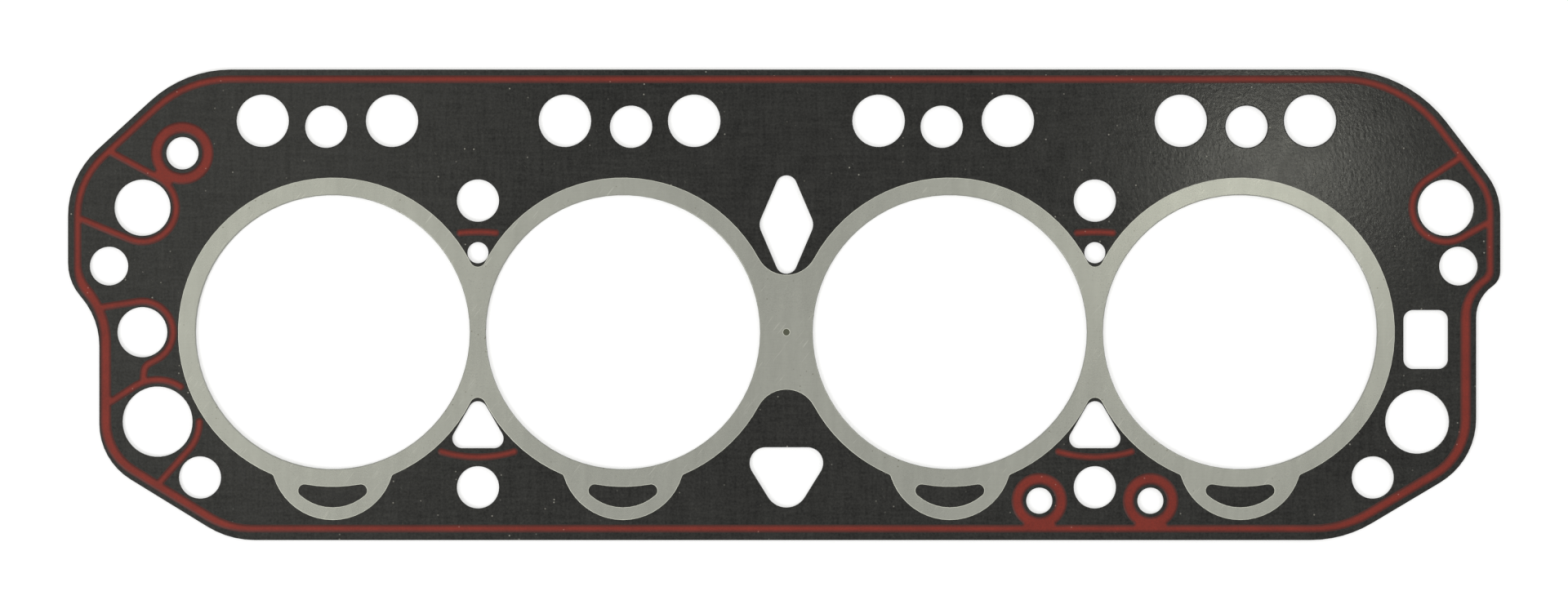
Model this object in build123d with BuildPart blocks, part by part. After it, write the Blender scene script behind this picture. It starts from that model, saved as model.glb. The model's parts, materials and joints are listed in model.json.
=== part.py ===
from build123d import *
import os
from math import acos, atan2, degrees, radians, sqrt, tan

# Cylinder head gasket for an in-line four-cylinder overhead-valve engine, in millimetres.
#
# A perforated-steel core is faced on both sides with a soft composite sheet. One folded
# steel armour sheathes the four cylinder openings, and silicone sealing beads are printed
# on both faces. X runs along the cylinder row with 0 midway between the middle cylinders,
# Y runs across the gasket with 0 midway between its long edges and the pushrod side at +Y,
# and Z points to the cylinder head with 0 at the underside.

# ---- sheet thicknesses -------------------------------------------------------------------
armour_sheet = 0.2
facing_thickness = 0.5
core_thickness = 0.3
bead_height = 0.18
bead_shoulder_drop = 0.08  # the beads' domed section is taken as a flat top with sloped shoulders
bead_shoulder_width = 0.45

# ---- cylinder row ------------------------------------------------------------------------
bore_radius = 46.0
centre_land = 17.7  # between the openings of the two middle cylinders
pair_land = 5.4  # between the openings of an end pair

# ---- folded armour -----------------------------------------------------------------------
flange_width = 5.9  # visible ring round each opening
return_lip_width = 2.4  # narrow ring folded under the gasket
fold_radius = 0.35  # outside of both folds; the layers start where the folds end
pair_waist_radius = 2.7  # hollow where two rings of a pair meet
centre_waist_radius = 10.5  # hollow beside the middle web
pilot_hole_diameter = 2.2
ear_reach = 11.15  # beyond the ring
ear_radius = 20.75
ear_band = 4.25
ear_junction_radius = 1.2
ear_window_rounding = 0.305  # share of the window's height

# ---- outer edge: rises and drops are from the cylinders' centre line ---------------------
upper_edge_margin = 36.3  # between the rings and the upper edge
ear_margin = 6.75  # between the ears and the lower edge
left_end_margin = 36.95  # between the outer ring and the end
right_end_margin = 35.45
left_waist_step = 10.5
right_waist_step = 8.1

left_shoulder_reach, left_shoulder_depth = 39.1, 36.0  # from the end, then from the upper edge
right_shoulder_reach, right_shoulder_depth = 31.6, 41.2
left_foot_reach, left_foot_drop = 54.1, 43.0
right_foot_reach, right_foot_drop = 52.6, 43.3
left_neck_top, left_neck_foot = 17.0, 4.6  # both are rises
right_neck_top, right_neck_foot = 17.3, 11.5
side_share_for_rounding = 0.98  # most of a side that its two corner roundings may use

# ---- round holes: a margin is from the gasket's end or long edge -------------------------
bolt_hole_diameter = 14.2
outer_upper_bolt_shift = 2.25  # a shift is outward from the cylinder beside the bolt
inner_upper_bolt_shift = -2.7
upper_bolt_margin = 19.2
inner_bolt_gap = 19.51  # a gap is outward along Y from the centre of the nearest waist hollow
lower_bolt_gap = 27.41
corner_bolt_inset = 7.3  # inward from the outer ring's end
corner_bolt_margin = 21.0

locating_hole_diameter = 13.0
left_locating_margin = 13.7
right_locating_margin = 14.0
locating_rise = 22.2

pushrod_hole_diameter = 17.6
pushrod_margin = 17.2
pushrod_spacing = 43.4
outer_pushrod_shift = -0.4  # of a pair's middle from the bolt between them
inner_pushrod_shift = 0.5

steam_hole_diameter = 7.1
steam_hole_gap = 2.01

coolant_upper_diameter = 18.9
coolant_upper_rise = 19.6  # above the locating holes
coolant_upper_left_end_margin = 24.95
coolant_upper_right_end_margin = 18.25
coolant_middle_diameter = 16.85
coolant_middle_end_margin = 24.9
coolant_lower_drop = 30.05
coolant_lower_left_diameter = 23.6
coolant_lower_left_end_margin = 30.0
coolant_lower_right_diameter = 21.5
coolant_lower_right_end_margin = 27.85

oil_feed_diameter = 10.9
oil_feed_shift, oil_feed_rise = 13.4, 18.3  # from the upper left coolant hole
oil_drain_diameter = 8.8
oil_drain_ear_gap = 9.3  # from an ear's side to the hole's centre
oil_drain_margin = 13.2

# ---- shaped windows ----------------------------------------------------------------------
slot_width = 15.0
slot_height = 19.75
slot_corner_radius = 3.2
slot_end_margin = 25.0
slot_drop = 2.45

diamond_width = 18.8
diamond_height = 44.0
diamond_gap = 6.4
diamond_tip_radius = 3.55
diamond_side_radius = 5.1

lower_triangle_width = 33.1
lower_triangle_height = 26.7
lower_triangle_gap = 8.9
lower_triangle_radius = 5.3
lower_triangle_tip_radius = 7.2

upper_triangle_width = 22.0
upper_triangle_height = 19.0
upper_triangle_gap = 14.26
upper_triangle_radius = 3.25

# ---- printed sealing beads ---------------------------------------------------------------
bead_width = 2.15
wide_bead_width = 3.2  # along both waists
foot_bead_width = 2.8
neck_bead_width = 2.4
oil_feed_bead_gap = 1.45  # from the hole's edge to its ring of bead
oil_drain_bead_gap = 1.3
oil_ring_bead_width = 3.45
coolant_bead_gap = 0.9  # from a coolant hole's edge to the bead round it
lower_coolant_bead_gap = 1.25

bead_junction_radius = 0.6
link_corner_shift, link_corner_rise = -4.3, 18.7  # the link's bend, from the lower coolant hole
link_radius = 3.5
link_end_angle = 110.0
free_end_upper_angle = 56.5
free_end_lower_angle = 0.0

short_bead_width = 1.95
straight_bead_length = 12.0
straight_bead_rise = 0.3
straight_bead_gap = 8.96
curved_bead_length = 24.5
curved_bead_rise = -1.8
curved_bead_gap = 17.21

# ---- values that follow from the sizes above ---------------------------------------------
ring_radius = bore_radius + flange_width
centre_pitch = 2 * bore_radius + centre_land
pair_pitch = 2 * bore_radius + pair_land
inner_bore_x = centre_pitch / 2
outer_bore_x = inner_bore_x + pair_pitch
pair_middle_x = (inner_bore_x + outer_bore_x) / 2
left_end = -(outer_bore_x + ring_radius + left_end_margin)
right_end = outer_bore_x + ring_radius + right_end_margin

ear_drop = ring_radius + ear_reach - ear_radius
ear_window_height = ear_reach - ear_band
upper_edge_rise = ring_radius + upper_edge_margin
lower_edge_drop = ring_radius + ear_reach + ear_margin
half_width = (upper_edge_rise + lower_edge_drop) / 2
bore_row_y = lower_edge_drop - half_width
bore_places = [(x, bore_row_y) for x in (-outer_bore_x, -inner_bore_x, inner_bore_x, outer_bore_x)]

# The hollows of the webs are circles that touch both rings; these are their centres' places.
pair_waist_rise = sqrt((ring_radius + pair_waist_radius) ** 2 - (pair_pitch / 2) ** 2)
centre_waist_rise = sqrt((ring_radius + centre_waist_radius) ** 2 - (centre_pitch / 2) ** 2)
pair_waist_top, pair_waist_foot = bore_row_y + pair_waist_rise, bore_row_y - pair_waist_rise
centre_waist_top, centre_waist_foot = bore_row_y + centre_waist_rise, bore_row_y - centre_waist_rise

lower_facing_z = armour_sheet
core_z = lower_facing_z + facing_thickness
upper_facing_z = core_z + core_thickness
flange_z = upper_facing_z + facing_thickness
overall_thickness = flange_z + armour_sheet

left_waist = left_end + left_waist_step
right_waist = right_end - right_waist_step

# Each side of the outer edge, anticlockwise from the top: the corner where it ends, that
# corner's radius, the bead's distance from the side, and the bead's width along it.
edge_sides = {
    "top": ((left_end + left_shoulder_reach, half_width), 40.0, 2.2, bead_width),
    "left_shoulder": ((left_end, half_width - left_shoulder_depth), 30.0, 2.0, bead_width),
    "left_end": ((left_end, bore_row_y + left_neck_top), 17.0, 2.2, bead_width),
    "left_neck": ((left_waist, bore_row_y + left_neck_foot), 25.0, 1.3, wide_bead_width),
    "left_waist": ((left_waist, bore_row_y - left_foot_drop), 22.0, 0.6, wide_bead_width),
    "left_foot": ((left_end + left_foot_reach, -half_width), 30.0, 1.7, foot_bead_width),
    "bottom": ((right_end - right_foot_reach, -half_width), 40.0, 2.8, bead_width),
    "right_foot": ((right_waist, bore_row_y - right_foot_drop), 25.0, 2.0, foot_bead_width),
    "right_waist": ((right_waist, bore_row_y + right_neck_foot), 23.0, 2.0, wide_bead_width),
    "right_neck": ((right_end, bore_row_y + right_neck_top), 11.0, 2.0, neck_bead_width),
    "right_end": ((right_end, half_width - right_shoulder_depth), 21.5, 2.35, bead_width),
    "right_shoulder": ((right_end - right_shoulder_reach, half_width), 45.0, 2.1, bead_width),
}


def inset_edge(insets):
    """Corner points and radii of the gasket's edge, each side moved inward by its inset."""
    corners = [Vector(*corner) for corner, radius, setback, width in edge_sides.values()]
    edge_radii = [radius for corner, radius, setback, width in edge_sides.values()]
    count = len(corners)
    along = [(corners[i] - corners[i - 1]).normalized() for i in range(count)]
    points, radii, tangents = [], [], []
    for i in range(count):
        here, after = along[i], along[(i + 1) % count]
        inset_here, inset_after = insets[i], insets[(i + 1) % count]
        turn = here.X * after.Y - here.Y * after.X
        points.append(corners[i] + (after * inset_here - here * inset_after) / turn)
        inward = (inset_here + inset_after) / 2
        radii.append(edge_radii[i] - inward if turn > 0 else edge_radii[i] + inward)
        tangents.append(radii[i] * tan(radians(here.get_angle(after)) / 2))
    # Where two neighbouring roundings would meet, both shrink to share the side.
    for i in range(count):
        room = (points[i] - points[i - 1]).length
        crowding = max(1, (tangents[i] + tangents[i - 1]) / (side_share_for_rounding * room))
        for corner in (i, i - 1):
            radii[corner] /= crowding
            tangents[corner] /= crowding
    return points, radii


def edge_face(insets):
    """Flat face inside the inset edge."""
    points, radii = inset_edge(insets)
    with BuildSketch() as face:
        with BuildLine():
            FilletPolyline(*points, radius=radii, close=True)
        make_face()
    return face.sketch


def rounded_polygon(points, radii):
    """Flat window with straight sides and rounded corners."""
    with BuildSketch(mode=Mode.PRIVATE) as window:
        with BuildLine():
            FilletPolyline(*points, radius=radii, close=True)
        make_face()
    return window.sketch


def tangent_angle(centre, radius, point, side):
    """Direction from centre at which a tangent to the circle passes through point."""
    away = Vector(*point) - Vector(*centre)
    return degrees(atan2(away.Y, away.X) + side * acos(radius / away.length))


# ---- plan of the layers ------------------------------------------------------------------
upper_bolt_xs = (outer_bore_x + outer_upper_bolt_shift, inner_bore_x + inner_upper_bolt_shift)
pushrod_pair_xs = (upper_bolt_xs[0] + outer_pushrod_shift, upper_bolt_xs[1] + inner_pushrod_shift)
corner_bolt_x = outer_bore_x + ring_radius - corner_bolt_inset
bolt_places = [
    *[(side * x, half_width - upper_bolt_margin) for side in (-1, 1) for x in upper_bolt_xs],
    *[(side * pair_middle_x, pair_waist_top + inner_bolt_gap) for side in (-1, 1)],
    *[(side * pair_middle_x, pair_waist_foot - lower_bolt_gap) for side in (-1, 1)],
    *[(side * corner_bolt_x, corner_bolt_margin - half_width) for side in (-1, 1)],
]
locating_y = bore_row_y + locating_rise
locating_places = [
    (left_end + left_locating_margin, locating_y),
    (right_end - right_locating_margin, locating_y),
]
pushrod_places = [
    (side * (pair_x + step * pushrod_spacing / 2), half_width - pushrod_margin)
    for side in (-1, 1)
    for pair_x in pushrod_pair_xs
    for step in (-1, 1)
]
steam_places = [(side * pair_middle_x, pair_waist_top + steam_hole_gap) for side in (-1, 1)]
oil_drain_shift = ear_radius + oil_drain_ear_gap
oil_drains = [
    (x, oil_drain_margin - half_width)
    for x in (inner_bore_x + oil_drain_shift, outer_bore_x - oil_drain_shift)
]
coolant_upper_y = locating_y + coolant_upper_rise
coolant_lower_y = bore_row_y - coolant_lower_drop
coolant_upper_left = (left_end + coolant_upper_left_end_margin, coolant_upper_y)
coolant_upper_right = (right_end - coolant_upper_right_end_margin, coolant_upper_y)
oil_feed = (coolant_upper_left[0] + oil_feed_shift, coolant_upper_y + oil_feed_rise)
coolant_middle = (left_end + coolant_middle_end_margin, bore_row_y)
coolant_lower_left = (left_end + coolant_lower_left_end_margin, coolant_lower_y)
coolant_lower_right = (right_end - coolant_lower_right_end_margin, coolant_lower_y)

round_holes = (
    (bolt_hole_diameter, bolt_places),
    (locating_hole_diameter, locating_places),
    (pushrod_hole_diameter, pushrod_places),
    (steam_hole_diameter, steam_places),
    (coolant_upper_diameter, [coolant_upper_left, coolant_upper_right]),
    (coolant_middle_diameter, [coolant_middle]),
    (coolant_lower_left_diameter, [coolant_lower_left]),
    (coolant_lower_right_diameter, [coolant_lower_right]),
    (oil_feed_diameter, [oil_feed]),
    (oil_drain_diameter, oil_drains),
)

diamond_y = centre_waist_top + diamond_gap
lower_triangle_y = centre_waist_foot - lower_triangle_gap
upper_triangle_y = pair_waist_foot - upper_triangle_gap
diamond = rounded_polygon(
    [
        (0, diamond_y + diamond_height / 2),
        (-diamond_width / 2, diamond_y),
        (0, diamond_y - diamond_height / 2),
        (diamond_width / 2, diamond_y),
    ],
    [diamond_tip_radius, diamond_side_radius, diamond_tip_radius, diamond_side_radius],
)
lower_triangle = rounded_polygon(
    [
        (-lower_triangle_width / 2, lower_triangle_y),
        (0, lower_triangle_y - lower_triangle_height),
        (lower_triangle_width / 2, lower_triangle_y),
    ],
    [lower_triangle_radius, lower_triangle_tip_radius, lower_triangle_radius],
)
upper_triangle = rounded_polygon(
    [
        (0, upper_triangle_y + upper_triangle_height),
        (-upper_triangle_width / 2, upper_triangle_y),
        (upper_triangle_width / 2, upper_triangle_y),
    ],
    [upper_triangle_radius] * 3,
)

with BuildSketch() as layer_plan:
    add(edge_face([0 for side in edge_sides]))
    with Locations(*bore_places):
        Circle(bore_radius + fold_radius, mode=Mode.SUBTRACT)
    for diameter, places in round_holes:
        with Locations(*places):
            Circle(diameter / 2, mode=Mode.SUBTRACT)
    with Locations((right_end - slot_end_margin, bore_row_y - slot_drop)):
        RectangleRounded(slot_width, slot_height, slot_corner_radius, mode=Mode.SUBTRACT)
    add(diamond, mode=Mode.SUBTRACT)
    add(lower_triangle, mode=Mode.SUBTRACT)
    with Locations((-pair_middle_x, 0), (pair_middle_x, 0)):
        add(upper_triangle, mode=Mode.SUBTRACT)

# ---- core and facings --------------------------------------------------------------------
with BuildPart() as steel_core:
    with BuildSketch(Plane.XY.offset(core_z)):
        add(layer_plan.sketch)
    extrude(amount=core_thickness)

with BuildPart() as lower_facing:
    with BuildSketch(Plane.XY.offset(lower_facing_z)):
        add(layer_plan.sketch)
    extrude(amount=facing_thickness)

with BuildPart() as upper_facing:
    with BuildSketch(Plane.XY.offset(upper_facing_z)):
        add(layer_plan.sketch)
    extrude(amount=facing_thickness)


# ---- armour ------------------------------------------------------------------------------
def waist(half_pitch, rise, radius):
    """Web between two rings, hollowed by arcs that run tangent to both rings."""
    with BuildSketch(mode=Mode.PRIVATE) as web:
        with BuildLine():
            Polyline((-half_pitch, 0), (0, -rise), (half_pitch, 0), (0, rise), close=True)
        make_face()
        with Locations((0, -rise), (0, rise)):
            Circle(radius, mode=Mode.SUBTRACT)
    return web.sketch


with BuildSketch() as ring_and_ear:
    Circle(ring_radius)
    with Locations((0, -ear_drop)):
        Circle(ear_radius)
    # Growing and shrinking again rounds the two inside corners where ear meets ring.
    offset(amount=ear_junction_radius, kind=Kind.ARC, mode=Mode.REPLACE)
    offset(amount=-ear_junction_radius, kind=Kind.ARC, mode=Mode.REPLACE)

with BuildSketch() as flange_plan:
    with Locations(*bore_places):
        add(ring_and_ear.sketch)
    with Locations((-pair_middle_x, bore_row_y), (pair_middle_x, bore_row_y)):
        add(waist(pair_pitch / 2, pair_waist_rise, pair_waist_radius))
    with Locations((0, bore_row_y)):
        add(waist(centre_pitch / 2, centre_waist_rise, centre_waist_radius))

with BuildSketch() as ear_window:
    with Locations((0, -ear_drop)):
        Circle(ear_radius - ear_band)
    Circle(ring_radius, mode=Mode.SUBTRACT)
    fillet(ear_window.vertices(), ear_window_rounding * ear_window_height)

sheath_wall_radius = bore_radius + armour_sheet / 2
with BuildSketch(Plane.XZ) as sheath_section:
    with BuildLine():
        FilletPolyline(
            (bore_radius + return_lip_width, overall_thickness - armour_sheet / 2),
            (sheath_wall_radius, overall_thickness - armour_sheet / 2),
            (sheath_wall_radius, armour_sheet / 2),
            (bore_radius + return_lip_width, armour_sheet / 2),
            radius=fold_radius - armour_sheet / 2,
        )
    trace(line_width=armour_sheet)

with BuildPart() as one_sheath:
    add(sheath_section.sketch)
    revolve(axis=Axis.Z)

with BuildPart() as bore_armour:
    with BuildSketch(Plane.XY.offset(flange_z)):
        add(flange_plan.sketch)
        with Locations(*bore_places):
            Circle(bore_radius + fold_radius, mode=Mode.SUBTRACT)
            add(ear_window.sketch, mode=Mode.SUBTRACT)
        with Locations((0, bore_row_y)):
            Circle(pilot_hole_diameter / 2, mode=Mode.SUBTRACT)
    extrude(amount=armour_sheet)
    with Locations(*bore_places):
        add(one_sheath.part)


# ---- sealing beads -----------------------------------------------------------------------
def on_bead(side_name, share):
    """Point on the middle of the edge bead, at a share of the way along one side."""
    names = list(edge_sides)
    index = names.index(side_name)
    start, end = Vector(*edge_sides[names[index - 1]][0]), Vector(*edge_sides[side_name][0])
    setback, width = edge_sides[side_name][2:]
    inward = (end - start).normalized().rotate(Axis.Z, 90)
    return start + (end - start) * share + inward * (setback + width / 2)


def bead_stroke(path, width):
    """Printed stroke of bead with round ends along a path."""
    with BuildSketch(mode=Mode.PRIVATE) as stroke:
        trace(path, line_width=width)
        with Locations(path @ 0, path @ 1):
            Circle(width / 2)
    return stroke.sketch


def bead_round_hole(centre, radius, start, end, tail=()):
    """Stroke that runs from start clockwise round a hole and on to end.

    A start or end given as a point is reached by a straight run tangent to the arc, and one
    given as an angle is where the arc itself stops. Tail points continue past end.
    """
    start_angle = start if isinstance(start, float) else tangent_angle(centre, radius, start, -1)
    end_angle = end if isinstance(end, float) else tangent_angle(centre, radius, end, 1)
    with BuildLine(mode=Mode.PRIVATE) as path:
        arc = CenterArc(centre, radius, start_angle, -((start_angle - end_angle) % 360))
        if start_angle is not start:
            Line(start, arc @ 0)
        if end_angle is not end and not tail:
            Line(arc @ 1, end)
        if tail:
            FilletPolyline(arc @ 1, end, *tail, radius=link_radius)
    return bead_stroke(path.wires()[0], bead_width)


def arched_bead(length, rise, y):
    """Short arched stroke, centred on X = 0."""
    with BuildLine(mode=Mode.PRIVATE) as path:
        ThreePointArc((-length / 2, y - rise), (0, y), (length / 2, y - rise))
    return bead_stroke(path.wires()[0], short_bead_width)


setbacks = [setback for corner, radius, setback, width in edge_sides.values()]
inner_setbacks = [setback + width for corner, radius, setback, width in edge_sides.values()]
coolant_upper_bead = coolant_upper_diameter / 2 + coolant_bead_gap + bead_width / 2
coolant_middle_bead = coolant_middle_diameter / 2 + coolant_bead_gap + bead_width / 2
coolant_lower_bead = coolant_lower_left_diameter / 2 + lower_coolant_bead_gap + bead_width / 2
link_reach = Vector(coolant_lower_bead, 0).rotate(Axis.Z, link_end_angle)
link_corner = Vector(*coolant_lower_left) + Vector(link_corner_shift, link_corner_rise)
link_end = Vector(*coolant_lower_left) + link_reach

bead_strokes = (
    (coolant_upper_left, coolant_upper_bead, on_bead("left_shoulder", 0.70), on_bead("left_end", 0.39)),
    (coolant_middle, coolant_middle_bead, on_bead("left_neck", 0.85), link_corner, [link_end]),
    (coolant_lower_left, coolant_lower_bead, on_bead("left_waist", 0.61), free_end_upper_angle),
    (coolant_lower_left, coolant_lower_bead, free_end_lower_angle, on_bead("left_foot", 0.41)),
    (
        coolant_upper_right,
        coolant_upper_bead,
        on_bead("right_end", 0.67),
        on_bead("right_shoulder", 0.335),
    ),
)

with BuildSketch() as edge_bead_plan:
    add(edge_face(setbacks))
    add(edge_face(inner_setbacks), mode=Mode.SUBTRACT)
    with Locations(oil_feed):
        Circle(oil_feed_diameter / 2 + oil_feed_bead_gap + oil_ring_bead_width)
    with Locations(*oil_drains):
        Circle(oil_drain_diameter / 2 + oil_drain_bead_gap + oil_ring_bead_width)
    for stroke in bead_strokes:
        add(bead_round_hole(*stroke))
    with Locations(oil_feed):
        Circle(oil_feed_diameter / 2 + oil_feed_bead_gap, mode=Mode.SUBTRACT)
    with Locations(*oil_drains):
        Circle(oil_drain_diameter / 2 + oil_drain_bead_gap, mode=Mode.SUBTRACT)

    # Wet silicone runs together, so every inside corner of the print is rounded.
    offset(amount=bead_junction_radius, kind=Kind.ARC, mode=Mode.REPLACE)
    offset(amount=-bead_junction_radius, kind=Kind.ARC, mode=Mode.REPLACE)

straight_bead_y = pair_waist_top + straight_bead_gap
curved_bead_y = pair_waist_foot - curved_bead_gap
straight_bead_plan = arched_bead(straight_bead_length, straight_bead_rise, straight_bead_y)
curved_bead_plan = arched_bead(curved_bead_length, curved_bead_rise, curved_bead_y)

bead_plans = [("edge_bead", edge_bead_plan.sketch)]
for side_name, x in (("left", -pair_middle_x), ("right", pair_middle_x)):
    bead_plans.append((f"straight_bead_{side_name}", straight_bead_plan.moved(Location((x, 0)))))
    bead_plans.append((f"curved_bead_{side_name}", curved_bead_plan.moved(Location((x, 0)))))

beads = []
for face_name, printed_face, outward in (
    ("upper", Plane.XY.offset(flange_z), 1),
    ("lower", Plane.XY.offset(lower_facing_z), -1),
):
    for bead_name, plan in bead_plans:
        with BuildPart() as bead:
            with BuildSketch(printed_face):
                add(plan)
            extrude(amount=outward * bead_height)
            outer_face = bead.faces().sort_by(Axis.Z)[-1 if outward > 0 else 0]
            shoulders = outer_face.edges()
            chamfer(shoulders, bead_shoulder_width, bead_shoulder_drop, reference=outer_face)
        bead.part.label = f"{face_name}_{bead_name}"
        beads.append(bead.part)

# ---- export ------------------------------------------------------------------------------
steel_core.part.label = "steel_core"
lower_facing.part.label = "lower_facing"
upper_facing.part.label = "upper_facing"
bore_armour.part.label = "bore_armour"

os.makedirs("parts", exist_ok=True)
for piece in (steel_core.part, lower_facing.part, upper_facing.part, bore_armour.part, *beads):
    export_step(piece, f"parts/{piece.label}.step")
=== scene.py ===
import json
import math

import bpy
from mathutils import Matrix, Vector


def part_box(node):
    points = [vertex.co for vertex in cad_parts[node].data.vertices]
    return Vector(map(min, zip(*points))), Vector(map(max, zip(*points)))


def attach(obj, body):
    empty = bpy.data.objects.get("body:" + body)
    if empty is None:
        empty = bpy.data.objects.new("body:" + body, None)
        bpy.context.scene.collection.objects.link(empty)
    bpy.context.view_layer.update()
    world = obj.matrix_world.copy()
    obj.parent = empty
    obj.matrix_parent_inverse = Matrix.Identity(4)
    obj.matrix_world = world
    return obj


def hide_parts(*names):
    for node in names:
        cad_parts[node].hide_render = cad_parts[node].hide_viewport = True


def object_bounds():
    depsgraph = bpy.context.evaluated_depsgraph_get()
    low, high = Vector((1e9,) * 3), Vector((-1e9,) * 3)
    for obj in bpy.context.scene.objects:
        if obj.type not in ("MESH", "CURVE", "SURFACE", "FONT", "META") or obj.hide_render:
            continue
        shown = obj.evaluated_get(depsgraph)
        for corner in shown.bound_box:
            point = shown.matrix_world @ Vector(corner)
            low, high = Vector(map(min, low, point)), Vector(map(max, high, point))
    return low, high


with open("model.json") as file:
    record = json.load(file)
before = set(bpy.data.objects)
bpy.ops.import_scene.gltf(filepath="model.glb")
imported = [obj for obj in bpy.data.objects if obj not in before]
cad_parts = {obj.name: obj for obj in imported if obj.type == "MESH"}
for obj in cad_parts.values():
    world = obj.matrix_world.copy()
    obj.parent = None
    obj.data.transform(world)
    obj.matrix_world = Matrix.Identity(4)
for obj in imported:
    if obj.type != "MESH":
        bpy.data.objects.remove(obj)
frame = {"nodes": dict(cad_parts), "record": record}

# A cylinder head gasket lying flat: dark composite facings on a steel core, folded steel
# armour round the cylinder openings, and printed silicone sealing beads.

MM = 0.001
ROOT_BODY = "root"

FACING_ROUND_WIDTH = 0.36 * MM
FACING_ROUND_HEIGHT = 0.11 * MM
FACING_ROUND_STEPS = 4
BEAD_ROUND_WIDTH = 0.85 * MM
BEAD_ROUND_HEIGHT = 0.16 * MM
BEAD_ROUND_STEPS = 6
BEAD_SKIRT = 0.25 * MM
ARMOUR_RIM_BEVEL = 0.16 * MM
FOLD_REACH = 1.0 * MM  # from a cylinder opening's edge to beyond the armour's fold
PILOT_HOLE_RADIUS = 1.1 * MM
PILOT_HOLE_BLUR = 0.1 * MM

SAME_POINT = 0.001 * MM  # points closer than this are merged
SAME_LEVEL = 0.01 * MM  # faces closer than this in height lie on one level
WALL_TILT = 0.3  # a face is a wall where its normal rises less than this
FLAT_TILT = 0.95  # and flat where it rises more than this
CUT_TILT = 0.5  # a facing's face is its cut edge where its normal rises less than this

# Degrees between faces that count as one flat face, and up to which an edge shades smoothly.
FLAT_ANGLE = 0.05
ROUNDING_ANGLE = 60
FOLD_ANGLE = 40

# Places of the second and third materials on a piece.
CUT_SLOT = 1
RIM_SLOT = 1
EDGE_SLOT = 2

cad_low, cad_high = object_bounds()
mounts = {mount["name"]: mount for mount in frame["record"]["mounts"]}
bore_centres = [Vector(mounts[f"cylinder_{n}"]["pos_m"]) for n in (1, 2, 3, 4)]
bore_radius = mounts["cylinder_1"]["dims"]["r_mm"] * MM
# The small hole in the middle of the armour's wide web, at the facing's level.
pilot_hole = (
    (bore_centres[1].x + bore_centres[2].x) / 2,
    bore_centres[1].y,
    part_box("upper_facing")[1].z,
)


# ---- working in edit mode ----------------------------------------------------------------
def edit(piece):
    """Only this piece is selected and in edit mode, with nothing in it selected."""
    if bpy.context.object and bpy.context.object.mode == "EDIT":
        bpy.ops.object.mode_set(mode="OBJECT")
    bpy.ops.object.select_all(action="DESELECT")
    piece.select_set(True)
    bpy.context.view_layer.objects.active = piece
    bpy.ops.object.mode_set(mode="EDIT")
    bpy.ops.mesh.select_mode(type="FACE")
    bpy.ops.mesh.select_all(action="DESELECT")


def done():
    """Back to object mode."""
    bpy.ops.object.mode_set(mode="OBJECT")


def select_faces(piece, wanted):
    """In edit mode, the faces for which wanted(face) is true are selected."""
    bpy.ops.mesh.select_mode(type="FACE")
    bpy.ops.mesh.select_all(action="DESELECT")
    bpy.ops.object.mode_set(mode="OBJECT")
    for face in piece.data.polygons:
        face.select = wanted(face)
    bpy.ops.object.mode_set(mode="EDIT")


def keep_edges(piece, wanted):
    """In edit mode, the selected edges whose middle point isn't wanted are deselected."""
    bpy.ops.object.mode_set(mode="OBJECT")
    points = piece.data.vertices
    chosen = [
        edge.index
        for edge in piece.data.edges
        if edge.select and wanted((points[edge.vertices[0]].co + points[edge.vertices[1]].co) / 2)
    ]
    for parts in (piece.data.polygons, piece.data.edges, points):
        parts.foreach_set("select", [False] * len(parts))
    for index in chosen:
        piece.data.edges[index].select = True
    bpy.ops.object.mode_set(mode="EDIT")


def merged_copy(node_name, piece_name):
    """A new piece with a CAD node's shape, its loose triangles merged into whole faces."""
    mesh = frame["nodes"][node_name].data.copy()
    mesh.name = piece_name
    mesh.materials.clear()
    piece = bpy.data.objects.new(piece_name, mesh)
    bpy.context.scene.collection.objects.link(piece)
    edit(piece)
    bpy.ops.mesh.customdata_custom_splitnormals_clear()
    bpy.ops.mesh.select_all(action="SELECT")
    bpy.ops.mesh.remove_doubles(threshold=SAME_POINT)
    bpy.ops.mesh.dissolve_limited(angle_limit=math.radians(FLAT_ANGLE))
    done()
    return piece


def rounded_steps(width, height, count):
    """Insets and rises that round an edge over by a quarter of an ellipse."""
    turns = [math.pi / 2 * step / count for step in range(count + 1)]
    return [
        (
            width * (math.cos(before) - math.cos(after)),
            height * (math.sin(after) - math.sin(before)),
        )
        for before, after in zip(turns, turns[1:])
    ]


def seated_sheet(node_name, piece_name, outward, round_width, round_height, count):
    """A flat piece raised from a CAD node's seat, with its outer edges rounded over.

    outward is 1 where the piece lies on an upper face and -1 where it hangs under a lower one.
    """
    low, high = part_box(node_name)
    seat = low.z if outward > 0 else high.z
    height = high.z - low.z
    piece = merged_copy(node_name, piece_name)
    edit(piece)
    select_faces(piece, lambda face: abs(face.center.z - seat) > SAME_LEVEL)
    bpy.ops.mesh.delete(type="FACE")
    bpy.ops.mesh.select_all(action="SELECT")
    bpy.ops.mesh.flip_normals()
    wall = (0, 0, outward * (height - round_height))
    bpy.ops.mesh.extrude_region_move(TRANSFORM_OT_translate={"value": wall})
    for inset, rise in rounded_steps(round_width, round_height, count):
        bpy.ops.mesh.inset(thickness=inset, depth=rise, use_even_offset=True, use_boundary=True)
    bpy.ops.mesh.select_all(action="SELECT")
    bpy.ops.mesh.normals_make_consistent(inside=False)
    done()
    return piece


def smooth(piece, angle):
    """Smooth shading up to an angle, with the broad flat faces kept flat."""
    bpy.ops.object.select_all(action="DESELECT")
    piece.select_set(True)
    bpy.context.view_layer.objects.active = piece
    bpy.ops.object.shade_smooth_by_angle(angle=math.radians(angle))
    weighted = piece.modifiers.new("flat_faces", "WEIGHTED_NORMAL")
    weighted.keep_sharp = True
    bpy.ops.object.modifier_apply(modifier=weighted.name)


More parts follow.
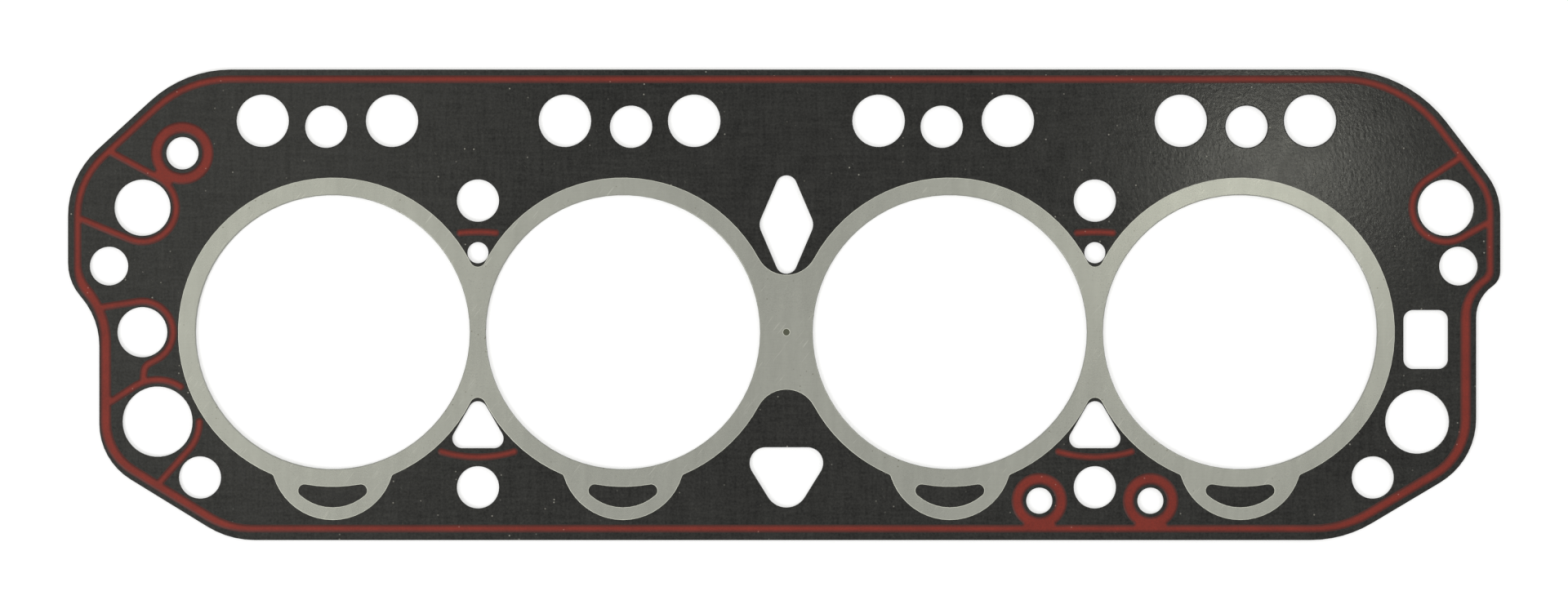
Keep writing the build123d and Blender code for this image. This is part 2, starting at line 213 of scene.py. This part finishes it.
def place(piece, node_name, slot, *materials):
    """Gives a piece its materials and puts it in the place of a CAD node."""
    for material in materials:
        piece.data.materials.append(material)
    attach(piece, ROOT_BODY)
    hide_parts(node_name)


# ---- writing materials -------------------------------------------------------------------
class Wire:
    """An output of a node. Arithmetic on it adds Math nodes."""

    def __init__(self, surface, socket):
        self.surface = surface
        self.socket = socket

    def maths(self, operation, *values):
        """A Math node on these values."""
        settings = {"operation": operation}
        return self.surface.node("ShaderNodeMath", settings, dict(enumerate(values)))

    def beside(self, output):
        """Another output of the same node."""
        return Wire(self.surface, self.socket.node.outputs[output])

    def __add__(self, other):
        return self.maths("ADD", self, other)

    def __sub__(self, other):
        return self.maths("SUBTRACT", self, other)

    def __rsub__(self, other):
        return self.maths("SUBTRACT", other, self)

    def __mul__(self, other):
        return self.maths("MULTIPLY", self, other)

    def __pow__(self, power):
        return self.maths("POWER", self, power)

    def __abs__(self):
        return self.maths("ABSOLUTE", self)

    __radd__ = __add__
    __rmul__ = __mul__


class Surface:
    """A material in the making, in object coordinates and metres."""

    def __init__(self, name):
        self.material = bpy.data.materials.new(name)
        self.material.use_nodes = True
        self.nodes = self.material.node_tree.nodes
        self.links = self.material.node_tree.links
        self.shader = self.nodes["Principled BSDF"]
        self.place = self.node("ShaderNodeTexCoord", output="Object")

    def node(self, kind, settings=None, inputs=None, output=0):
        """Adds a node: settings first, then the values or wires of its sockets."""
        node = self.nodes.new(kind)
        for name, value in (settings or {}).items():
            setattr(node, name, value)
        for name, value in (inputs or {}).items():
            self.feed(node.inputs[name], value)
        return Wire(self, node.outputs[output])

    def feed(self, socket, value):
        """Links a wire to a socket, or sets the socket's value."""
        if isinstance(value, Wire):
            self.links.new(value.socket, socket)
        else:
            socket.default_value = value

    def set(self, **values):
        """Sets or links the shader's sockets; base_color stands for Base Color."""
        for name, value in values.items():
            self.feed(self.shader.inputs[name.replace("_", " ").title()], value)

    def set_specular(self, level):
        """How strongly the surface mirrors, the same all over."""
        self.shader.inputs["Specular IOR Level"].default_value = level

    def set_metallic(self, share):
        """How metallic the surface is, the same all over."""
        self.shader.inputs["Metallic"].default_value = share

    def laid(self, size, stretch=(1, 1, 1), turn=0.0, shift=0.0):
        """Coordinates in which size, stretched along axes turned by turn degrees, is one unit."""
        values = {
            "Vector": self.place,
            "Location": (shift * size,) * 3,
            "Rotation": (0, 0, math.radians(turn)),
            "Scale": tuple(size * along for along in stretch),
        }
        return self.node("ShaderNodeMapping", {"vector_type": "TEXTURE"}, values)

    def noise(self, size, detail=2.0, roughness=0.5, **laying):
        """Noise that swings about 0 and whose lumps are about size across."""
        values = {
            "Vector": self.laid(size, **laying),
            "Scale": 1.0,
            "Detail": detail,
            "Roughness": roughness,
        }
        return self.node("ShaderNodeTexNoise", {"noise_dimensions": "3D"}, values) - 0.5

    def specks(self, spacing, radius, share, **laying):
        """1 inside small round specks, in a share of cells that are about spacing across."""
        values = {"Vector": self.laid(spacing, **laying), "Scale": 1.0}
        cell = self.node("ShaderNodeTexVoronoi", {"voronoi_dimensions": "2D"}, values)
        lot = self.node("ShaderNodeSeparateColor", None, {"Color": cell.beside("Color")})
        reach = radius / spacing
        near = 1 - self.step(cell, reach * 0.6, reach)
        drawn = 1 - self.step(lot, share, share + 0.01)
        return near * drawn

    def step(self, value, low, high, kind="SMOOTHSTEP"):
        """0 below low, 1 above high, and running up between."""
        values = {"Value": value, "From Min": low, "From Max": high}
        return self.node("ShaderNodeMapRange", {"interpolation_type": kind}, values)

    def height(self):
        """How high the surface lies."""
        return self.node("ShaderNodeSeparateXYZ", None, {"Vector": self.place}, "Z")

    def distance(self, point):
        """How far the surface is from a point."""
        values = {0: self.place, 1: point}
        return self.node("ShaderNodeVectorMath", {"operation": "DISTANCE"}, values, "Value")

    def blend(self, share, first, second):
        """Colour that runs from first to second as share goes from 0 to 1."""
        values = {0: share, 6: first, 7: second}
        return self.node("ShaderNodeMix", {"data_type": "RGBA"}, values, 2)

    def shaded(self, colour, factor):
        """A colour made lighter or darker by a factor that varies."""
        channels = {"Red": factor, "Green": factor, "Blue": factor}
        grey = self.node("ShaderNodeCombineColor", None, channels)
        settings = {"data_type": "RGBA", "blend_type": "MULTIPLY"}
        return self.node("ShaderNodeMix", settings, {0: 1.0, 6: colour, 7: grey}, 2)

    def bump(self, height, distance):
        """Surface relief; height runs from 0 to 1 over the given distance."""
        values = {"Height": height, "Distance": distance, "Strength": 1.0}
        return self.node("ShaderNodeBump", None, values)


def colour(red, green, blue):
    """A colour written as it looks on a screen, from 0 to 255, as the shader wants it."""
    screen = [value / 255 for value in (red, green, blue)]
    return (*[v / 12.92 if v <= 0.04045 else ((v + 0.055) / 1.055) ** 2.4 for v in screen], 1.0)


# ---- colours -----------------------------------------------------------------------------
GRAPHITE = colour(44, 44, 42)
PALE_FIBRE = colour(104, 103, 96)
DUST = colour(150, 148, 138)
ADHESIVE = colour(84, 86, 72)
CUT_FIBRE = colour(58, 57, 53)

DULL_STEEL = colour(138, 139, 131)
SCRATCHED_STEEL = colour(186, 186, 176)
PITTED_STEEL = colour(84, 80, 66)
# Painted highlight for the armour's eased rim.
RIM_HIGHLIGHT = colour(200, 201, 188)
# Olive browns of the armour's cut edge.
DARK_OLIVE = colour(84, 80, 58)
PALE_OLIVE = colour(128, 124, 100)
CORE_SHADE = colour(86, 85, 80)
CORE_SHINE = colour(142, 140, 132)

BRICK_RED = colour(115, 38, 28)
# Painted shade for the foot of the bead's rounded sides.
BEAD_SIDE_SHADE = colour(42, 33, 30)
CHALK = colour(176, 128, 116)

WHITE = (1, 1, 1, 1)


# ---- materials ---------------------------------------------------------------------------
def composite_facing():
    """Dark graphite-and-fibre sheet: faintly woven, dusty, and glossy like orange peel.

    Adhesive shows on it where the armour's pilot hole leaves it bare.
    """
    s = Surface("composite_facing")
    clouds = s.noise(50 * MM, 4, 0.55)
    smears = s.noise(6 * MM, 4, 0.6, stretch=(1, 1.8, 1), shift=3.0)
    grain = s.noise(0.8 * MM, 3, 0.75)
    across = s.noise(1.2 * MM, 2, 0.6, stretch=(1, 9, 1), shift=7.0)
    along = s.noise(1.2 * MM, 2, 0.6, stretch=(9, 1, 1), shift=11.0)
    tone = 1.0 + clouds * 0.3 + smears * 0.4 + grain * 1.9 + across * 0.75 + along * 0.75
    dusty_area = s.step(s.noise(14 * MM, 3, 0.6, shift=23.0), -0.05, 0.16)
    dust = s.specks(3.0 * MM, 0.30 * MM, 0.10, shift=19.0)
    fibre = s.step(s.noise(0.5 * MM, 1, 0.5, stretch=(1, 5, 1), turn=35, shift=41.0), 0.20, 0.27)
    fibrous = s.blend(fibre * dusty_area * 0.35, s.shaded(GRAPHITE, tone), PALE_FIBRE)
    hole_edge = PILOT_HOLE_RADIUS + PILOT_HOLE_BLUR
    in_hole = 1 - s.step(s.distance(pilot_hole), PILOT_HOLE_RADIUS, hole_edge)
    glued = s.blend(in_hole, fibrous, ADHESIVE)
    peel = s.noise(1.4 * MM, 2, 0.6, stretch=(1, 1.3, 1), turn=25, shift=13.0)
    s.set(
        base_color=s.blend(dust * dusty_area * 0.8, glued, DUST),
        roughness=0.15 + clouds * 0.04 + smears * 0.10 + grain * 0.08,
        normal=s.bump(0.5 + peel * 0.5 + grain * 0.15 + across * 0.12 + along * 0.12, 0.05 * MM),
    )
    s.set_specular(0.085)
    return s.material


def facing_cut():
    """The facing's punched edge, where the fibres stand a little paler."""
    s = Surface("facing_cut")
    fibre = s.noise(0.3 * MM, 3, 0.7, stretch=(2, 2, 1))
    s.set(
        base_color=s.shaded(CUT_FIBRE, 1.0 + fibre * 1.6),
        roughness=0.7 + fibre * 0.2,
    )
    s.set_specular(0.2)
    return s.material


def armour_steel():
    """Dull aluminised sheet steel: grey-green, finely rolled, with small pits and scratches."""
    s = Surface("armour_steel")
    clouds = s.noise(55 * MM, 3, 0.5)
    rolling = s.noise(0.35 * MM, 2, 0.6, stretch=(30, 1, 1), shift=5.0)
    grain = s.noise(0.7 * MM, 3, 0.7)
    smear = s.noise(3 * MM, 3, 0.6, stretch=(1, 6, 1), shift=17.0)
    tone = 1.0 + clouds * 0.18 + rolling * 0.12 + grain * 0.15 + smear * 0.26
    pitted_area = s.step(s.noise(20 * MM, 2, 0.5, shift=33.0), 0.0, 0.14)
    pit = s.specks(2.2 * MM, 0.26 * MM, 0.15, shift=29.0) * pitted_area
    streak = s.noise(0.3 * MM, 0, 0.5, stretch=(1, 24, 1), turn=-38, shift=43.0)
    scratch = s.step(streak, 0.26, 0.33)
    base = s.blend(scratch * 0.3, s.shaded(DULL_STEEL, tone), SCRATCHED_STEEL)
    s.set(
        base_color=s.blend(pit * 0.75, base, PITTED_STEEL),
        roughness=0.28 + grain * 0.06 + clouds * 0.10,
        normal=s.bump(0.5 + rolling * 0.12 + grain * 0.3, 0.008 * MM),
    )
    s.set_metallic(0.45)
    return s.material


def armour_rim_highlight():
    """The armour's rounded rim, with a painted highlight: a lighter, patchy steel colour."""
    s = Surface("armour_rim_highlight")
    rim_patches = s.noise(4 * MM, 3, 0.6)
    s.set(
        # The rim's colour is a painted highlight, made patchy by the noise.
        base_color=s.shaded(RIM_HIGHLIGHT, 1.0 + rim_patches * 0.5),
        roughness=0.4 + rim_patches * 0.2,
    )
    s.set_metallic(0.2)
    return s.material


def armour_edge():
    """The armour's cut edge, coloured a mottled olive brown, darker than the steel."""
    s = Surface("armour_edge")
    edge_mottle = s.noise(3 * MM, 3, 0.6)
    s.set(
        base_color=s.blend(0.5 + edge_mottle, DARK_OLIVE, PALE_OLIVE),
        roughness=0.6 + edge_mottle * 0.2,
    )
    s.set_metallic(0.3)
    return s.material


def core_steel():
    """Bare steel of the core, seen only at cut edges."""
    s = Surface("core_steel")
    grain = s.noise(0.4 * MM, 3, 0.6, stretch=(1, 1, 6))
    s.set(
        base_color=s.blend(0.5 + grain, CORE_SHADE, CORE_SHINE),
        roughness=0.45 + grain * 0.25,
    )
    s.set_metallic(0.8)
    return s.material


def bead_silicone():
    """Brick-red silicone, matt and finely speckled, with painted shade darkening its rounded sides
    towards the foot.
    """
    s = Surface("bead_silicone")
    lumps = s.noise(7 * MM, 3, 0.6)
    speckle = s.noise(0.5 * MM, 3, 0.7, shift=37.0)
    tone = 1.0 + lumps * 0.55 + speckle * 0.9
    chalk = s.specks(5.0 * MM, 0.28 * MM, 0.18, shift=47.0)
    # Painted shade: the colour darkens from the crown down the rounded sides to the foot.
    middle = (cad_low.z + cad_high.z) / 2
    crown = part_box("upper_edge_bead")[1].z - middle
    from_middle = abs(s.height() - middle)
    rise = s.step(from_middle, crown - BEAD_ROUND_HEIGHT, crown, "LINEAR")
    inward = 1 - (1 - rise * rise) ** 0.5
    body = s.blend(0.25 + inward * 0.75, BEAD_SIDE_SHADE, BRICK_RED)
    s.set(
        base_color=s.blend(chalk * 0.45, s.shaded(body, tone), CHALK),
        roughness=0.40 + speckle * 0.3,
        normal=s.bump(0.5 + speckle * 0.7 + lumps * 0.5, 0.02 * MM),
    )
    s.set_specular(0.18)
    return s.material


# ---- pieces ------------------------------------------------------------------------------
def make_facing(node_name, piece_name, outward, sheet, cut):
    """A facing: a flat sheet with its edges rounded over by the punch, and paler where cut."""
    rounding = (FACING_ROUND_WIDTH, FACING_ROUND_HEIGHT, FACING_ROUND_STEPS)
    piece = seated_sheet(node_name, piece_name, outward, *rounding)
    smooth(piece, ROUNDING_ANGLE)
    place(piece, node_name, "facing", sheet, cut)
    for face in piece.data.polygons:
        face.material_index = CUT_SLOT if abs(face.normal.z) < CUT_TILT else 0


def make_bead(node_name, piece_name, outward, silicone):
    """A printed bead: rounded over, with a thin skirt pressed out along its sides."""
    rounding = (BEAD_ROUND_WIDTH, BEAD_ROUND_HEIGHT, BEAD_ROUND_STEPS)
    piece = seated_sheet(node_name, piece_name, outward, *rounding)
    edit(piece)
    select_faces(piece, lambda face: abs(face.normal.z) < WALL_TILT)
    spread = {"value": BEAD_SKIRT, "use_even_offset": True}
    bpy.ops.mesh.extrude_region_shrink_fatten(TRANSFORM_OT_shrink_fatten=spread)
    bpy.ops.mesh.select_all(action="SELECT")
    bpy.ops.mesh.normals_make_consistent(inside=False)
    done()
    smooth(piece, ROUNDING_ANGLE)
    place(piece, node_name, "bead_silicone", silicone)


def clear_of_folds(point):
    """Whether a point lies outside the folds round the cylinder openings."""
    return min((point - centre).xy.length for centre in bore_centres) > bore_radius + FOLD_REACH


def make_armour(steel, rim, edge):
    """The folded armour, with its upper rim eased and given a painted highlight."""
    piece = merged_copy("bore_armour", "folded_armour")
    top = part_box("bore_armour")[1].z
    edit(piece)
    select_faces(piece, lambda face: face.center.z > top - SAME_LEVEL)
    bpy.ops.mesh.region_to_loop()
    keep_edges(piece, clear_of_folds)
    bpy.ops.mesh.bevel(offset=ARMOUR_RIM_BEVEL, segments=2, affect="EDGES", clamp_overlap=False)
    done()
    smooth(piece, FOLD_ANGLE)
    place(piece, "bore_armour", "armour_steel", steel, rim, edge)
    for face in piece.data.polygons:
        if clear_of_folds(face.center) and abs(face.normal.z) < FLAT_TILT:
            face.material_index = EDGE_SLOT if abs(face.normal.z) < WALL_TILT else RIM_SLOT


sheet_material = composite_facing()
cut_material = facing_cut()
silicone_material = bead_silicone()

frame["nodes"]["steel_core"].data.materials.clear()
frame["nodes"]["steel_core"].data.materials.append(core_steel())
make_armour(armour_steel(), armour_rim_highlight(), armour_edge())
for level, outward in (("upper", 1), ("lower", -1)):
    make_facing(f"{level}_facing", f"{level}_facing_sheet", outward, sheet_material, cut_material)
    for bead_name in (
        "edge_bead",
        "straight_bead_left",
        "straight_bead_right",
        "curved_bead_left",
        "curved_bead_right",
    ):
        node_name = f"{level}_{bead_name}"
        make_bead(node_name, f"{node_name}_print", outward, silicone_material)


# ---- camera, floor and light -------------------------------------------------------------
VIEW_WIDTH = 0.5261  # how far the camera sees across, at the gasket's top
VIEW_CENTRE = (-0.0008, 0.0001)
CAMERA_HEIGHT = 1.3
SENSOR_WIDTH = 36.0
CLIP_START = 0.05
FLOOR_SIZE = 12
FLOOR_GAP = 0.02 * MM
FLOOR_TONE = 0.6
FLOOR_GLOW = 0.46
ROOM_LIGHT = 0.6
PLAIN = (1.0, 1.0, 1.0)
WARM = (1.0, 1.0, 0.88)


def add_camera():
    """Straight above the gasket, looking down on it."""
    camera = bpy.data.objects.new("camera", bpy.data.cameras.new("camera"))
    bpy.context.scene.collection.objects.link(camera)
    camera.location = (*VIEW_CENTRE, cad_high.z + CAMERA_HEIGHT)
    camera.data.sensor_width = SENSOR_WIDTH
    camera.data.lens = SENSOR_WIDTH * CAMERA_HEIGHT / VIEW_WIDTH
    camera.data.clip_start = CLIP_START
    bpy.context.scene.camera = camera


def add_floor():
    """White floor that shows as white to the camera and still takes the gasket's shadow."""
    bpy.ops.object.select_all(action="DESELECT")
    bpy.ops.mesh.primitive_plane_add(size=FLOOR_SIZE, location=(0, 0, cad_low.z - FLOOR_GAP))
    floor = bpy.context.object
    floor.name = "floor"
    s = Surface("floor")
    ray = s.node("ShaderNodeLightPath", output="Is Camera Ray")
    seen = ray + ray.beside("Is Glossy Ray") + ray.beside("Is Transmission Ray")
    s.set(
        base_color=(FLOOR_TONE, FLOOR_TONE, FLOOR_TONE, 1),
        roughness=0.9,
        emission_color=s.shaded(WHITE, seen),
        emission_strength=FLOOR_GLOW,
    )
    floor.data.materials.append(s.material)


def add_light(name, location, size, power, tint=PLAIN):
    """A square lamp that points at the middle of the gasket."""
    light = bpy.data.lights.new(name, "AREA")
    light.size = size
    light.energy = power
    light.color = tint
    lamp = bpy.data.objects.new(name, light)
    bpy.context.scene.collection.objects.link(lamp)
    lamp.location = location
    lamp.rotation_mode = "QUATERNION"
    lamp.rotation_quaternion = (-Vector(location)).to_track_quat("-Z", "Y")


def set_world():
    """A plain white room: soft light on the gasket, and white where it is seen or mirrored."""
    world = bpy.data.worlds.new("room")
    bpy.context.scene.world = world
    world.use_nodes = True
    nodes, links = world.node_tree.nodes, world.node_tree.links
    background = nodes["Background"]
    background.inputs["Color"].default_value = WHITE
    ray = nodes.new("ShaderNodeLightPath")
    seen = nodes.new("ShaderNodeMath")
    seen.operation = "MAXIMUM"
    links.new(ray.outputs["Is Camera Ray"], seen.inputs[0])
    links.new(ray.outputs["Is Glossy Ray"], seen.inputs[1])
    strength = nodes.new("ShaderNodeMapRange")
    strength.inputs["To Min"].default_value = ROOM_LIGHT
    strength.inputs["To Max"].default_value = 1.0
    links.new(seen.outputs[0], strength.inputs["Value"])
    links.new(strength.outputs[0], background.inputs["Strength"])


add_camera()
add_floor()
add_light("key", location=(-0.9, -0.7, 1.3), size=0.7, power=10.0)
add_light("fill", location=(1.1, 0.6, 1.2), size=1.0, power=5.0)
add_light("left_glow", location=(-0.42, 0.06, 1.35), size=0.4, power=1.0, tint=WARM)
add_light("right_glow", location=(0.328, 0.09, 1.30), size=0.08, power=0.75, tint=WARM)
set_world()
bpy.context.scene.view_settings.view_transform = "Standard"
